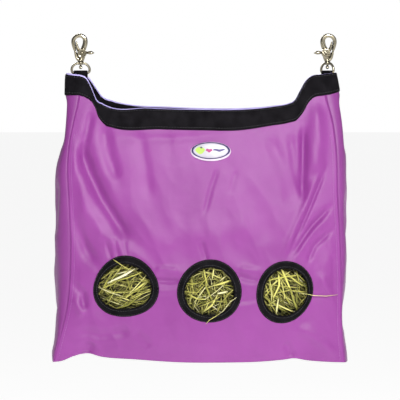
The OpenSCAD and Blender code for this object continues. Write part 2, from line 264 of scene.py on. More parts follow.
class Finish:
    """A new node material with its shader, and short ways to add nodes."""

    def __init__(self, name, roughness, metallic=0.0, **sockets):
        self.material = bpy.data.materials.new(name)
        self.material.use_nodes = True
        self.nodes = self.material.node_tree.nodes
        self.shader = self.nodes["Principled BSDF"]
        self.shader.inputs["Roughness"].default_value = roughness
        self.shader.inputs["Metallic"].default_value = metallic
        for socket, value in sockets.items():
            self.shader.inputs[socket.replace("_", " ")].default_value = value
        self.place = self.nodes.new("ShaderNodeTexCoord").outputs["Object"]

    def add(self, kind, **settings):
        node = self.nodes.new(kind)
        for key, value in settings.items():
            if key in node.inputs:
                node.inputs[key].default_value = value
            else:
                setattr(node, key, value)
        return node

    def link(self, a, b):
        self.material.node_tree.links.new(a, b)

    def moved(self, scale=(1, 1, 1), turn=(0, 0, 0)):
        mapping = self.add("ShaderNodeMapping")
        mapping.inputs["Scale"].default_value = scale
        mapping.inputs["Rotation"].default_value = turn
        self.link(self.place, mapping.inputs["Vector"])
        return mapping.outputs["Vector"]

    def speckle(self, scale, detail=2.0, where=None):
        spots = self.add("ShaderNodeTexNoise", Scale=scale, Detail=detail, Roughness=0.5)
        self.link(where or self.place, spots.inputs["Vector"])
        return spots.outputs["Fac"]

    def ramp(self, source, stops):
        ramp = self.add("ShaderNodeValToRGB")
        while len(ramp.color_ramp.elements) < len(stops):
            ramp.color_ramp.elements.new(0.5)
        for element, (at, colour) in zip(ramp.color_ramp.elements, stops):
            element.position = at
            element.color = (*colour, 1)
        self.link(source, ramp.inputs["Fac"])
        return ramp.outputs["Color"]

    def multiply(self, factor, a, b):
        mix = self.add("ShaderNodeMix", data_type="RGBA", blend_type="MULTIPLY")
        mix.inputs[0].default_value = factor
        self.link(a, mix.inputs[6])
        self.link(b, mix.inputs[7])
        return mix.outputs[2]

    def colour(self, source):
        self.link(source, self.shader.inputs["Base Color"])

    def bumps(self, *heights):
        """Each height is (output, strength, distance in metres), laid one on another."""
        normal = None
        for height, strength, distance in heights:
            bump = self.add("ShaderNodeBump", Strength=strength, Distance=distance)
            self.link(height, bump.inputs["Height"])
            if normal:
                self.link(normal, bump.inputs["Normal"])
            normal = bump.outputs["Normal"]
        self.link(normal, self.shader.inputs["Normal"])

    def threads(self, scale, direction):
        wave = self.add("ShaderNodeTexWave", bands_direction=direction, Scale=scale, Distortion=0.0)
        self.link(self.place, wave.inputs["Vector"])
        return wave.outputs["Fac"]


def pack_cloth(name, across, upright="Z", shade=1.0):
    """Purple woven nylon: fine plain weave, slight sheen, soft mottling where it has been handled."""
    cloth = Finish(name, 0.44, Sheen_Weight=0.06, Sheen_Roughness=0.4, Specular_IOR_Level=0.42)
    deep, faded = (0.218, 0.032, 0.218), (0.255, 0.042, 0.255)
    cloth.colour(cloth.ramp(cloth.speckle(9, 4), [(0.3, tuple(c * shade for c in deep)),
                                                  (0.7, tuple(c * shade for c in faded))]))
    cloth.bumps((cloth.threads(640, across), 0.25, 0.00012), (cloth.threads(640, upright), 0.25, 0.00012),
                (cloth.speckle(55, 3), 0.25, 0.0012), (cloth.speckle(240, 2), 0.12, 0.0004))
    return cloth.material


CLOTH_THICK = 1.0
CLOTH_BELOW_RIM = 5
NEAR_RIM = 500


def sheet_rows(u, v, left, right, top, bottom):
    """x and z over a panel: u from its left to its right seam, v from its hem to the rim."""
    x = left(NEAR_RIM) + (right(NEAR_RIM) - left(NEAR_RIM)) * u
    for _ in range(4):
        z = top(x)
        x = left(z) + (right(z) - left(z)) * u
    high = top(x) - CLOTH_BELOW_RIM
    low = bottom(left(0) + (right(0) - left(0)) * u)
    z = low + (high - low) * v
    x = left(z) + (right(z) - left(z)) * u
    return x, z


HOLES = [
    {"name": "left", "centre": (-134.6, 138.2), "outer": (58, 55), "inner_centre": (-136.6, 138),
     "inner": (47, 40), "lean": (0.012, 3.6, 0.035, 3.75)},
    {"name": "middle", "centre": (14.2, 131), "outer": (58, 56), "inner_centre": (14.2, 130.5),
     "inner": (44, 42.5), "lean": (0.012, 1.2, 0.012, 1.4)},
    {"name": "right", "centre": (147.3, 129.6), "outer": (52, 54), "inner_centre": (149, 129.6),
     "inner": (40, 40.6), "lean": (0.05, 1.05, 0.012, 2.2)},
]


def hole_edge(hole, angle, which):
    """Radius of a hole's binding at an angle, a little out of round as sewn cloth is."""
    wide, tall = hole[which]
    oval = wide * tall / np.hypot(tall * np.cos(angle), wide * np.sin(angle))
    second, second_at, third, third_at = hole["lean"]
    return oval * (1 + second * np.cos(2 * (angle - second_at)) + third * np.cos(3 * (angle - third_at)))


FRONT_LINES = 176
# The cloth is cut this far outside the opening, under its binding.
HOLE_CUT_BACK = 4.5
u, v = np.meshgrid(np.linspace(0, 1, FRONT_LINES), np.linspace(0, 1, FRONT_LINES))
front_x, front_z = sheet_rows(u, v, left_seam, right_seam, rim_top, hem_line)
front_grid = np.stack([front_x, front_y(front_x, front_z), front_z], -1)
middle_x = (front_x[1:, 1:] + front_x[:-1, :-1]) / 2
middle_z = (front_z[1:, 1:] + front_z[:-1, :-1]) / 2
whole = np.ones(middle_x.shape, bool)
for hole in HOLES:
    away_x, away_z = middle_x - hole["inner_centre"][0], middle_z - hole["inner_centre"][1]
    edge = hole_edge(hole, np.arctan2(away_z, away_x), "inner") + HOLE_CUT_BACK
    whole &= np.hypot(away_x, away_z) > edge
front = grid_mesh("front_cloth", front_grid, keep=whole)
drop_loose(front)
thicken(front, CLOTH_THICK)
front.data.materials.append(pack_cloth("front nylon", "X"))
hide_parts("front_panel")
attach(front, "bag")

# ---------------------------------------------------------------- back panel
# The same cloth without holes, sewn to both gussets and the base. It hangs flatter against the
# wall, with a few long soft folds.

BACK_FOLDS = [
    ([[-200, 420], [-150, 300], [-120, 180]], 7, 16),
    ([[205, 425], [160, 310], [120, 190]], 7, 16),
    ([[-90, 410], [-70, 300]], 3, 14),
    ([[70, 412], [80, 310]], 3, 14),
    ([[-220, 260], [-160, 170], [-60, 130]], 5, 13),
    ([[225, 250], [160, 160], [80, 120]], 5, 13),
    ([[-10, 300], [20, 200]], 2.5, 12),
    ([[-210, 90], [-150, 50]], 4, 9),
    ([[205, 80], [160, 40]], 4, 9),
]


def back_y(x, z):
    return wall_y(x, z, 1, BACK_FOLDS, [(62, 13.4, 3.0), (26, 17.2, 0.8)],
                  [(80, 61.3, 2.2), (36, 71.9, 0.8)], (300, 80, 0.25))


BACK_LINES = 130
u, v = np.meshgrid(np.linspace(0, 1, BACK_LINES), np.linspace(0, 1, BACK_LINES))
back_x, back_z = sheet_rows(u, v, left_seam, right_seam, rim_top_back, hem_line)
back = grid_mesh("back_cloth", np.stack([back_x, back_y(back_x, back_z), back_z], -1)[:, ::-1])
thicken(back, CLOTH_THICK)
back.data.materials.append(pack_cloth("back nylon", "X"))
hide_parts("back_panel")
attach(back, "bag")

# ---------------------------------------------------------------- gussets
# A long strip of cloth down each side, seamed to front and back. It is drawn in at the
# shoulder, where the strap pulls, and bellies out beside the hay.

GUSSET_FOLDS = {
    "left": [([[0.5, 480], [0.5, 380]], 9, 0.16), ([[0.25, 330], [0.4, 220]], 5, 0.1),
             ([[0.7, 300], [0.55, 180]], 5, 0.1), ([[0.3, 120], [0.6, 60]], 5, 0.1)],
    "right": [([[0.5, 480], [0.5, 370]], 9, 0.16), ([[0.3, 310], [0.45, 190]], 5, 0.1),
              ([[0.75, 330], [0.6, 210]], 5, 0.1), ([[0.7, 110], [0.35, 60]], 5, 0.1)],
}


GUSSET_OUTLINES = {"left": left_side, "right": right_side}
GUSSET_SEEDS = {"left": 21.0, "right": 27.0}
GUSSET_PEAKS = {"left": 3.5, "right": 2.5}
SHOULDER_Z = 510


def gusset(side, u, z):
    """A point of a gusset: u from its front seam to its back seam."""
    seam, outer = SEAMS[side](z), GUSSET_OUTLINES[side](z)
    bow = np.sin(np.pi * u) ** 0.75
    pulled = fold_depth(u * 100, z, [([[p[0] * 100, p[1]] for p in path], depth, width * 100)
                                     for path, depth, width in GUSSET_FOLDS[side]])
    reach = np.maximum(np.abs(outer - seam) - pulled, 2)
    x = seam + np.sign(outer - seam) * reach * bow
    half = depth_seam(z)
    y = MID_Y - half * np.cos(np.pi * u)
    lumps = ripple(x, y, z, 45, GUSSET_SEEDS[side]) * 2.5 * np.sin(np.pi * u)
    return np.stack([x + lumps * np.clip((400 - z) / 100, 0, 1), y, z + 0 * x], -1)


def gusset_top(side, u):
    """Height of the rim across a gusset, which stands highest between its two seams."""
    return rim_top(SEAMS[side](SHOULDER_Z)) + GUSSET_PEAKS[side] * np.sin(np.pi * u)


# The gussets' colour is made 16 percent darker than the front's. This is painted shade: they are the same
# cloth, turned away from the light.
gusset_cloth = pack_cloth("gusset nylon", "Y", shade=0.84)
for side, turn in (("left", 1), ("right", -1)):
    u, v = np.meshgrid(np.linspace(0, 1, 50), np.linspace(0, 1, 150))
    low = hem_line(SEAMS[side](0))
    z = low + (gusset_top(side, u) - CLOTH_BELOW_RIM - low) * v
    piece = grid_mesh(side + "_gusset_cloth", gusset(side, u, z)[:, ::-turn])
    thicken(piece, CLOTH_THICK)
    piece.data.materials.append(gusset_cloth)
    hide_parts(side + "_gusset")
    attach(piece, "bag")

# ---------------------------------------------------------------- base
# A strip of the same cloth between the hems of front and back. Its corners stand out as ears
# where four seam ends meet.

u, v = np.meshgrid(np.linspace(0, 1, 120), np.linspace(0, 1, 34))
hem_z = hem_line(left_seam(0) + (right_seam(0) - left_seam(0)) * u)
edge_left, edge_right = left_seam(hem_z), right_seam(hem_z)
base_x = edge_left + (edge_right - edge_left) * u
front_edge, back_edge = front_y(base_x, hem_z), back_y(base_x, hem_z)
base_y = front_edge + (back_edge - front_edge) * v
dip = np.sin(np.pi * v) ** 0.6
base_z = hem_z * (1 - 0.3 * dip) + ripple(base_x, base_y, 0 * u, 30, 31.0) * 0.6 * dip + 0.3 * dip
base = grid_mesh("base_cloth", np.stack([base_x, base_y, np.maximum(base_z, 0.1)], -1)[::-1])
thicken(base, CLOTH_THICK)
base.data.materials.append(pack_cloth("base nylon", "X", "Y"))
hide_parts("base_panel")
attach(base, "bag")

# ---------------------------------------------------------------- rim webbing
# A 38 mm black ribbed webbing is sewn round the outside of the rim and another round the
# inside, with the cloth's pale turned edge standing a little above them.

band_low_front = through([[-245, 478], [-219, 478], [-206, 473.5], [-194, 464], [-187, 452], [-181, 437],
                          [-173, 426], [-160, 421], [-75, 417.6], [-3, 416], [69, 416], [123, 424],
                          [158, 430], [170, 434], [179, 446], [188, 461], [198, 472], [220, 478],
                          [245, 484]])


def webbing_depth(x):
    """How far the webbing's lower edge is under the rim."""
    return rim_top(x) - band_low_front(x)


# Where the rim meets the gusset on each side.
RIM_ENDS = {"left": -218.5, "right": 220.5}


def band_rows(top_drop, low_drop, rows):
    """Places on the cloth's outer face all round the bag, in rows from one line up to another.
    The two lines are functions that give how far they lie under the rim at x."""
    t = np.linspace(0, 1, rows)[:, None]
    xs = np.concatenate([np.linspace(RIM_ENDS["left"], -168, 34), np.linspace(-160, 160, 74),
                         np.linspace(166, RIM_ENDS["right"], 36)])
    u = (xs - left_seam(NEAR_RIM)) / (right_seam(NEAR_RIM) - left_seam(NEAR_RIM))
    columns = []
    for rim, face, side in ((rim_top, front_y, "right"), (rim_top_back, back_y, "left")):
        seam_x = RIM_ENDS[side]
        x = xs
        for _ in range(3):
            z = rim(x) - low_drop(x) + (low_drop(x) - top_drop(x)) * t
            left, right = seams_at(z)
            x = left + (right - left) * u
        part = np.stack([x, face(x, z), z], -1)
        across = np.linspace(0, 1, 26)[1:-1]
        high = gusset_top(side, across) - top_drop(seam_x)
        flare = 7 if side == "right" else 0
        low = rim_top(seam_x) - low_drop(seam_x) + flare * np.sin(np.pi * across) * (low_drop(seam_x) > 20)
        ring = gusset(side, across[None, :] + 0 * t, low + (high - low) * t)
        columns += [part, ring] if side == "right" else [part[:, ::-1], ring[:, ::-1]]
    return np.concatenate(columns, 1)


def outward(grid):
    """Unit normals of a closed loop of columns, pointing out of the bag."""
    round_it = np.roll(grid, -1, 1) - np.roll(grid, 1, 1)
    up_it = np.gradient(grid, axis=0)
    normal = np.cross(round_it, up_it)
    return normal / np.linalg.norm(normal, axis=-1, keepdims=True)


def band(name, top_drop, low_drop, rows, near, far):
    """A strap round the bag between two distances from the cloth's face, with rounded edges."""
    grid = band_rows(top_drop, low_drop, rows)
    normal = outward(grid)
    middle, half = (near + far) / 2, (far - near) / 2
    edge = np.minimum(np.arange(rows), np.arange(rows)[::-1])
    round_off = np.clip((edge + 0.35) / 1.35, 0, 1)[:, None, None] ** 0.5
    outer = grid + normal * (middle + half * round_off)
    inner = grid + normal * (middle - half * round_off)
    return grid_mesh(name, np.concatenate([outer, inner[::-1]]), wrap_rows=True, wrap_columns=True)


def ribbed_webbing(name):
    """Black polypropylene webbing with ribs along its length, its black varying a little at random."""
    webbing = Finish(name, 0.6, Specular_IOR_Level=0.04)
    webbing.colour(webbing.ramp(webbing.speckle(60, 3), [(0.3, (0.0035, 0.003, 0.004)),
                                                         (0.75, (0.010, 0.009, 0.011))]))
    webbing.bumps((webbing.threads(260, "Z"), 0.5, 0.0004),
                  (webbing.threads(420, "DIAGONAL"), 0.3, 0.0003),
                  (webbing.speckle(300, 2), 0.2, 0.0003))
    return webbing.material


# How much of the cloth's turned edge stands above the webbing, as [x, height].
edge_shown = through([[-245, 2.6], [-190, 2.8], [-165, 2.0], [-60, 1.5], [120, 1.2], [165, 0.5],
                      [240, 0.4]])
webbing = ribbed_webbing("rim webbing")
for name, near, far, node in (("rim_webbing", 0.1, 1.9, "outer_rim_webbing"),
                              ("inner_rim_webbing_strap", -2.9, -1.15, "inner_rim_webbing")):
    strap = band(name, edge_shown, webbing_depth, 13, near, far)
    strap.data.materials.append(webbing)
    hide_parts(node)
    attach(strap, "bag")

edge_cloth = Finish("turned edge", 0.6, Sheen_Weight=0.3)
edge_cloth.colour(edge_cloth.ramp(edge_cloth.speckle(40), [(0.3, (0.36, 0.30, 0.66)),
                                                           (0.7, (0.50, 0.44, 0.82))]))
edge_cloth.bumps((edge_cloth.threads(500, "DIAGONAL"), 0.3, 0.0002))
EDGE_TURNED = 7
turned_edge = band("turned_edge", lambda x: 0 * x, lambda x: EDGE_TURNED + 0 * x, 6, -1.1, 0.4)
turned_edge.data.materials.append(edge_cloth.material)
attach(turned_edge, "bag")

# ---------------------------------------------------------------- feed rings
# Each hole's cut edge is wrapped in a black woven binding, which is folded over the edge and
# sewn through all layers in two rows.

binding = ribbed_webbing("hole binding")
for hole in HOLES:
    angle = np.linspace(0, 2 * math.pi, 160, endpoint=False)[None, :]
    # Across the binding: 0 is the outer edge on the face, 1 the lip, 2 the edge inside.
    across = np.array([0, 0.03, 0.1, 0.25, 0.45, 0.65, 0.82, 0.93, 1.0, 1.07, 1.18, 1.5, 1.9])[:, None]
    lift = np.array([0.0, 1.0, 1.7, 2.0, 2.2, 2.5, 2.7, 2.3, 0.4, -1.6, -2.4, -2.4, -2.0])[:, None]
    outer_r = hole_edge(hole, angle, "outer")
    inner_r = hole_edge(hole, angle, "inner")
    share = np.where(across <= 1, across, 2 - across)
    mid_x = hole["centre"][0] * (1 - share) + hole["inner_centre"][0] * share
    mid_z = hole["centre"][1] * (1 - share) + hole["inner_centre"][1] * share
    radius = outer_r + (inner_r - outer_r) * share
    pucker = np.sin(angle * 31 + 2 * np.sin(angle * 3)) * 0.22 + np.sin(angle * 53) * 0.12
    x = mid_x + radius * np.cos(angle)
    z = mid_z + radius * np.sin(angle)
    y = front_y(x, z) - lift - pucker * np.clip(lift, 0, 2) / 2
    ring = grid_mesh(hole["name"] + "_hole_binding", np.stack([x, y, z], -1), wrap_columns=True)
    thicken(ring, 0.5)
    ring.data.materials.append(binding)
    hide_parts(hole["name"] + "_feed_ring")
    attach(ring, "bag")

# ---------------------------------------------------------------- stitching
# Polyester thread: lilac rows along the cloth's seams, black rows on the webbing and bindings.
# Each stitch is a short capsule with its ends sunk in the cloth.


def tubes(name, shapes):
    """One object holding several tubes, each an array of rings and closed at both ends."""
    faces, first = [], 0
    for rings in shapes:
        rows, columns = rings.shape[:2]
        for r in range(rows - 1):
            for c in range(columns):
                a, b = first + r * columns + c, first + r * columns + (c + 1) % columns
                faces.append((a, b, b + columns, a + columns))
        last = first + (rows - 1) * columns
        faces.append(tuple(range(first, first + columns))[::-1])
        faces.append(tuple(range(last, last + columns)))
        first += rows * columns
    return new_piece(name, np.concatenate([rings.reshape(-1, 3) for rings in shapes]), faces)


def stitches(name, places, normals, length, gap, thread, colour):
    """A row of stitches along a line of places, each standing on the cloth by half its thread."""
    places = np.asarray(places, float)
    normals = np.asarray(normals, float)
    run = np.concatenate([[0], np.cumsum(np.linalg.norm(np.diff(places, axis=0), axis=1))])
    starts = np.arange(0, run[-1] - length, length + gap)
    stations = np.array([0.0, 0.14, 0.5, 0.86, 1.0])
    rise = np.array([-0.9, 0.3, 0.55, 0.3, -0.9]) * thread
    turn = np.linspace(0, 2 * math.pi, 6, endpoint=False)
    row = []
    for begin in starts:
        at = begin + stations * length
        spot = np.stack([np.interp(at, run, places[:, k]) for k in range(3)], 1)
        out = np.stack([np.interp(at, run, normals[:, k]) for k in range(3)], 1)
        ahead = np.gradient(spot, axis=0)
        ahead /= np.linalg.norm(ahead, axis=1, keepdims=True)
        side = np.cross(ahead, out)
        centre = spot + out * rise[:, None]
        row.append(centre[:, None] + (side[:, None] * np.cos(turn)[None, :, None]
                   + out[:, None] * np.sin(turn)[None, :, None]) * thread / 2)
    piece = tubes(name, row)
    piece.data.materials.append(colour)
    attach(piece, "bag")


def thread_finish(name, colour):
    thread = Finish(name, 0.45, Sheen_Weight=0.2)
    dark = tuple(0.7 * c for c in colour)
    thread.colour(thread.ramp(thread.speckle(90, 2), [(0.3, dark), (0.7, colour)]))
    thread.bumps((thread.threads(900, "DIAGONAL"), 0.4, 0.0001))
    return thread.material


purple_thread = thread_finish("purple thread", (0.42, 0.16, 0.45))
black_thread = thread_finish("black thread", (0.014, 0.013, 0.015))

for hole in HOLES:
    angle = np.linspace(0, 2 * math.pi, 241)
    for row, share, lift in (("outer", 0.13, 2.1), ("inner", 0.72, 2.95)):
        radius_out = hole_edge(hole, angle, "outer")
        radius_in = hole_edge(hole, angle, "inner")
        radius = radius_out + (radius_in - radius_out) * share
        x = hole["centre"][0] * (1 - share) + hole["inner_centre"][0] * share + radius * np.cos(angle)
        z = hole["centre"][1] * (1 - share) + hole["inner_centre"][1] * share + radius * np.sin(angle)
        line = np.stack([x, front_y(x, z) - lift, z], -1)
        stitches(f"{hole['name']}_hole_{row}_stitches", line, np.tile([0, -1, 0], (len(line), 1)),
                 length=3.2, gap=1.2, thread=0.6, colour=black_thread)

for row, index in (("upper", 24), ("lower", 3)):
    grid = band_rows(edge_shown, webbing_depth, 27)
    normal = outward(grid)
    line = grid[index] + normal[index] * 1.95
    closed_line = np.concatenate([line, line[:1]])
    closed_normals = np.concatenate([normal[index], normal[index][:1]])
    stitches(f"rim_{row}_stitches", closed_line, closed_normals,
             length=3.6, gap=1.3, thread=0.6, colour=black_thread)

for side, seam, sign in (("left", left_seam, 1), ("right", right_seam, -1)):
    z = np.linspace(8, 412, 200)
    x = seam(z) + sign * 7
    line = np.stack([x, front_y(x, z) - 0.15, z], -1)
    out = np.stack([-sign * 0.25 + 0 * z, -0.97 + 0 * z, 0 * z], -1)
    stitches(f"{side}_front_seam_stitches", line, out,
             length=3.4, gap=1.4, thread=0.5, colour=purple_thread)
    back_line = np.stack([x, back_y(x, z) + 0.15, z], -1)
    stitches(f"{side}_back_seam_stitches", back_line, out * [1, -1, 1],
             length=3.4, gap=1.4, thread=0.5, colour=purple_thread)

# ---------------------------------------------------------------- hay
# Loose meadow hay packed to about half the bag's height: bent flat stalks in tangled layers,
# over a heap of the same hay coloured near black, as painted shade in the deep gaps between stalks.

hay_random = np.random.default_rng(17)


def heap_grid():
    rows = []
    turn = np.linspace(0, 2 * math.pi, 120, endpoint=False)
    levels = [(0.02, 8), (0.5, 6), (0.9, 7), (1, 14)] + [(1, z) for z in range(26, 216, 12)]
    levels += [(0.97, 226), (0.9, 236), (0.76, 246), (0.55, 252), (0.3, 256), (0.02, 257)]
    for scale, z in levels:
        lean = np.sign(np.cos(turn)) * np.abs(np.cos(turn)) ** 0.42
        bow = np.sign(np.sin(turn)) * np.abs(np.sin(turn)) ** 0.42
        left, right = left_seam(z) + 9, right_seam(z) - 9
        x = (left + right) / 2 + (right - left) / 2 * lean * scale
        front_face, back_face = front_y(x, z + 0 * x) + 17, back_y(x, z + 0 * x) - 13
        y = (front_face + back_face) / 2 - (back_face - front_face) / 2 * bow * scale
        z_here = z + ripple(x, y, 0 * x + z, 30, 5.0) * (7 if z > 220 else 1.5) + 0 * x
        z_here = np.maximum(z_here, hem_line(x) + 4)
        rows.append(np.stack([x, y + ripple(x, y, 0 * x + z, 14, 2.0) * 2.0, z_here], -1))
    return np.array(rows)


def hay_finish():
    """Cut meadow grass, from brown and green to pale straw by the stalk, with painted shade darkening the
    stalks that lie under others.
    """
    hay = Finish("hay", 0.55, Sheen_Weight=0.1, Specular_IOR_Level=0.4)
    info = hay.add("ShaderNodeNewGeometry")
    tone = hay.ramp(info.outputs["Random Per Island"], [
        (0.0, (0.13, 0.10, 0.02)), (0.14, (0.20, 0.21, 0.03)), (0.4, (0.44, 0.42, 0.07)),
        (0.68, (0.70, 0.66, 0.15)), (0.88, (0.80, 0.76, 0.26)), (1.0, (0.92, 0.88, 0.56))])
    streak = hay.speckle(220, 3, hay.moved((1, 1, 0.3)))
    tone = hay.multiply(0.35, tone, hay.ramp(streak, [(0.3, (0.45, 0.45, 0.38)), (0.7, (1, 1, 1))]))
    # Painted shade: ambient occlusion darkens the stalks towards black where they lie deep among others.
    buried_shade_ao = hay.add("ShaderNodeAmbientOcclusion", samples=8, Distance=0.016)
    depth = hay.ramp(buried_shade_ao.outputs["AO"], [(0.16, (0.02, 0.018, 0.012)), (0.4, (0.32, 0.30, 0.22)),
                                            (0.68, (1, 1, 1))])
    hay.colour(hay.multiply(1.0, tone, depth))
    hay.bumps((streak, 0.3, 0.0004))
    return hay.material


hay_look = hay_finish()
heap = grid_mesh("hay_heap", heap_grid()[:, ::-1], wrap_columns=True)
# The heap's near-black colour is painted shade for the deep gaps between the stalks, not the hay's own
# colour.
shaded_heap = Finish("pressed hay", 0.8)
layers = shaded_heap.speckle(140, 6, shaded_heap.moved((1, 1, 2.2), (0.4, 0.6, 0.2)))
shaded_heap.colour(shaded_heap.ramp(layers, [(0.38, (0.003, 0.003, 0.001)), (0.55, (0.020, 0.019, 0.005)),
                                     (0.72, (0.12, 0.11, 0.03))]))
shaded_heap.bumps((shaded_heap.speckle(180, 5), 0.9, 0.004))
heap.data.materials.append(shaded_heap.material)
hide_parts("hay_fill")
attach(heap, "bag")


def stalk_mesh(name, stalks):
    """Bent flat stalks. Each is (points, width, thickness, twist), with pointed soft ends."""
    turn = np.linspace(0, 2 * math.pi, 5, endpoint=False)
    shapes = []
    for path, width, thick, twist in stalks:
        n = len(path)
        ahead = np.gradient(path, axis=0)
        ahead /= np.linalg.norm(ahead, axis=1, keepdims=True)
        side = np.cross(ahead, [0.0, 1.0, 0.0]) + [1e-6, 0, 0]
        side /= np.linalg.norm(side, axis=1, keepdims=True)
        up = np.cross(side, ahead)
        taper = np.sin(np.linspace(0.25, math.pi - 0.12, n)) ** 0.4
        roll = twist + np.linspace(-0.4, 0.4, n)
        flat = side * np.cos(roll)[:, None] + up * np.sin(roll)[:, None]
        deep = up * np.cos(roll)[:, None] - side * np.sin(roll)[:, None]
        wide = (width / 2 * taper)[:, None, None]
        tall = (thick / 2 * taper)[:, None, None]
        shapes.append(path[:, None] + flat[:, None] * np.cos(turn)[None, :, None] * wide
                      + deep[:, None] * np.sin(turn)[None, :, None] * tall)
    piece = tubes(name, shapes)
    piece.data.materials.append(hay_look)
    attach(piece, "bag")


def stalk_in_hole(hole, lie, spread, longest, layer):
    """One stalk lying behind a hole: nearly flat there, and tucked further in towards the edge."""
    cx, cz = hole["inner_centre"]
    reach = max(hole["inner"]) + 7
    away = reach * math.sqrt(hay_random.random())
    at = hay_random.uniform(0, 2 * math.pi)
    middle = np.array([cx + away * math.cos(at), cz + away * math.sin(at)])
    heading = hay_random.normal(lie, spread)
    length = hay_random.uniform(0.35, 1) * longest
    curve = hay_random.normal(0, 0.11) / length
    t = np.linspace(-0.5, 0.5, 7)
    kink = hay_random.choice([0, 0, 0, 0, 0, 0, 0.4])
    heading_at = heading + curve * length * t * 2 + kink * (t > 0.15)
    step = np.stack([np.cos(heading_at), np.sin(heading_at)], -1) * length / 6
    flat = middle + np.cumsum(step, 0) - step.sum(0) / 2
    offset = flat - [cx, cz]
    edge = hole_edge(hole, np.arctan2(offset[:, 1], offset[:, 0]), "inner")
    far = np.hypot(offset[:, 0], offset[:, 1]) / edge
    flat = np.array([cx, cz]) + offset * np.minimum(1, 1.16 / np.maximum(far, 1e-6))[:, None]
    far = np.minimum(far, 1.16)
    tuck = 7.0 * np.clip((far - 0.55) / 0.45, 0, 1.2) ** 1.5
    depth = layer + tuck + hay_random.normal(0, 0.8) + hay_random.normal(0, 4) * t
    depth = np.maximum(depth, np.where(far > 0.93, 4.6, -1.5))
    y = front_y(flat[:, 0], flat[:, 1]) + depth
    return np.stack([flat[:, 0], y, flat[:, 1]], -1)


# For each hole: the way most stalks lie, how far they stray from it, the longest, how stout
# they are and how many there are.
HAY_LIES = {"left": (0.35, 0.6, 90, 1.0, 190), "middle": (0.5, 1.5, 52, 0.85, 360),
            "right": (2.3, 0.65, 84, 1.05, 360)}
for hole in HOLES:
    lie, spread, longest, stout, count = HAY_LIES[hole["name"]]
    stalks = []
    for i in range(count):
        layer = 20 - 19.5 * (i / count) ** 0.9
        broad = hay_random.random() < 0.16
        width = stout * (hay_random.uniform(2.6, 4.6) if broad else hay_random.uniform(0.9, 2.1))
        path = stalk_in_hole(hole, lie, spread, longest, layer)
        stalks.append((path, width, 0.5 + 0.25 * width, hay_random.normal(0, 0.35)))
    stalk_mesh(hole["name"] + "_hole_hay", stalks)

TOP_STALKS = 900
HEAP_TOP = 254
stalks = []
for _ in range(TOP_STALKS):
    z_layer = hay_random.uniform(0, 9)
    x0, y0 = hay_random.uniform(-205, 222), hay_random.uniform(-45, 45)
    heading = hay_random.uniform(0, 2 * math.pi)
    length = hay_random.uniform(30, 110)
    t = np.linspace(-0.5, 0.5, 7)
    bend = hay_random.normal(0, 0.5)
    x = x0 + np.cos(heading + bend * t) * length * t
    y = np.clip(y0 + np.sin(heading + bend * t) * length * t, -52, 52)
    x = np.clip(x, -222, 232)
    front_wall, back_wall = front_y(x, 0 * x + 250), back_y(x, 0 * x + 250)
    y = np.clip(y, front_wall + 9, back_wall - 9)
    edge_drop = 22 * (np.clip(np.abs(x) / 215, 0, 1) ** 3 + np.clip(np.abs(y) / 52, 0, 1) ** 3)
    z = HEAP_TOP + z_layer - edge_drop + 5 * t * hay_random.normal(0, 1)
    z = z + ripple(x, y, 0 * x, 60, 9.0) * 6
    width = hay_random.uniform(0.9, 3.2)
    stalks.append((np.stack([x, y, z], -1), width, 0.4 + 0.25 * width, hay_random.normal(0, 0.6)))
stalk_mesh("top_hay", stalks)

# Four stalks have worked out over the bindings.
STRAYS = [([[-157, 188], [-151, 184], [-142, 178], [-132, 172], [-118, 168]], 1.5),
          ([[8, 73], [14, 80], [24, 86], [33, 92]], 1.3),
          ([[62, 121], [50, 112], [38, 96], [30, 90]], 1.2),
          ([[176, 128], [200, 123], [222, 122], [243, 124]], 1.1)]
strays = []
for points, width in STRAYS:
    x, z = np.array(points, float).T
    far = np.array([min(math.hypot(a - h["inner_centre"][0], b - h["inner_centre"][1])
                        - min(h["inner"]) for h in HOLES) for a, b in points])
    y = front_y(x, z) - np.clip(4.0 + 0.12 * far, 1.0, 4.4)
    strays.append((np.stack([x, y, z], -1), width, 0.8, 0.2))
stalk_mesh("stray_hay", strays)

# ---------------------------------------------------------------- badge
# An oval badge of soft moulded rubber sewn below the rim, with a pale domed face and a plain
# print on it: a leaf with a dot, two short waves beside them, and a thin wave below.

BADGE_AT = (16.5, 378.5)
BADGE_HALF = (36, 17)
FACE_HALF = (33.5, 14.2)
FACE_LIFT = 1.6
FACE_PROFILE = [(0.02, 1.5), (1, 1.5), (0.995, 2.4), (0.96, 2.9), (0.8, 3.3), (0.5, 3.6), (0.2, 3.7),
                (0.02, 3.7)]


def badge_y(x, z, stand):
    """The badge lies on the cloth as the cloth would be without its small folds."""
    at_x, at_z = BADGE_AT
    cloth = front_y(np.linspace(at_x - BADGE_HALF[0], at_x + BADGE_HALF[0], 9), np.full(9, at_z))
    above, below = front_y(np.array([at_x, at_x]), np.array([at_z + 15.0, at_z - 15.0]))
    lean = (above - below) / 30
    bow = 0.0011 * (x - at_x) ** 2
    return cloth.min() + bow + lean * (z - at_z) - stand


def badge_disc(name, half, lift_z, profile, finish):
    """An oval turned profile: [share of the way out, how far it stands off the cloth]."""
    turn = np.linspace(0, 2 * math.pi, 96, endpoint=False)[None, :]
    share = np.array([p[0] for p in profile])[:, None]
    stand = np.array([p[1] for p in profile])[:, None]
    x = BADGE_AT[0] + half[0] * share * np.cos(turn)
    z = BADGE_AT[1] + lift_z + half[1] * share * np.sin(turn)
    disc = grid_mesh(name, np.stack([x, badge_y(x, z, stand + 0 * x), z], -1), wrap_columns=True)
    disc.data.materials.append(finish)
    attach(disc, "bag")
    return disc


def rubber(name, tone, rough=0.45):
    soft = Finish(name, rough, Specular_IOR_Level=0.4)
    lower = tuple(0.86 * c for c in tone)
    soft.colour(soft.ramp(soft.speckle(70, 3), [(0.35, lower), (0.65, tone)]))
    soft.bumps((soft.speckle(900, 2), 0.12, 0.0001))
    return soft.material


